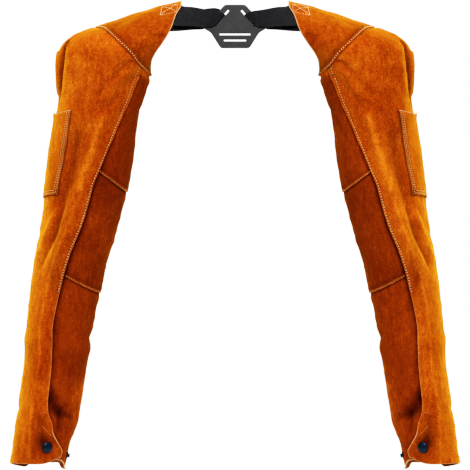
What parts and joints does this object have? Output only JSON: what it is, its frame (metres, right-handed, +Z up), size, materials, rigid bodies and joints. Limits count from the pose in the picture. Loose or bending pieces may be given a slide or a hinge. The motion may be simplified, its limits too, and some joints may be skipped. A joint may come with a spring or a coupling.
{
  "type": "welding sleeve",
  "caption": "Suede leather welding sleeves with shoulder capes, arm pocket and snap cuff, joined across the back by webbing and a slotted plate.",
  "frame": {"origin": "midway between the neck tips of the two capes and at their height, where the pair sits on the shoulders", "axes": "+Z up, +X towards the wearer's right arm, +Y towards the wearer's front, so -Y is the back that the picture shows"},
  "size_m": [0.6678, 0.1644, 0.7016],
  "materials": {
    "outer_leather": "napped split leather, matt",
    "inner_leather": "napped split leather, matt",
    "webbing": "woven",
    "moulded_plate": "fine grained",
    "snap_metal": "gloss black"
  },
  "bodies": {
    "root": {"left_cape": "outer_leather", "left_outer_panel": "outer_leather", "left_inner_upper_panel": "inner_leather", "left_inner_middle_panel": "inner_leather", "left_inner_lower_panel": "inner_leather", "left_pocket": "outer_leather", "left_snap_cap": "snap_metal", "left_snap_stud": "snap_metal", "left_strap": "webbing", "right_cape": "outer_leather", "right_outer_panel": "outer_leather", "right_inner_upper_panel": "inner_leather", "right_inner_middle_panel": "inner_leather", "right_inner_lower_panel": "inner_leather", "right_pocket": "outer_leather", "right_snap_cap": "snap_metal", "right_snap_stud": "snap_metal", "right_strap": "webbing", "back_plate": "moulded_plate"}
  },
  "joints": []
}
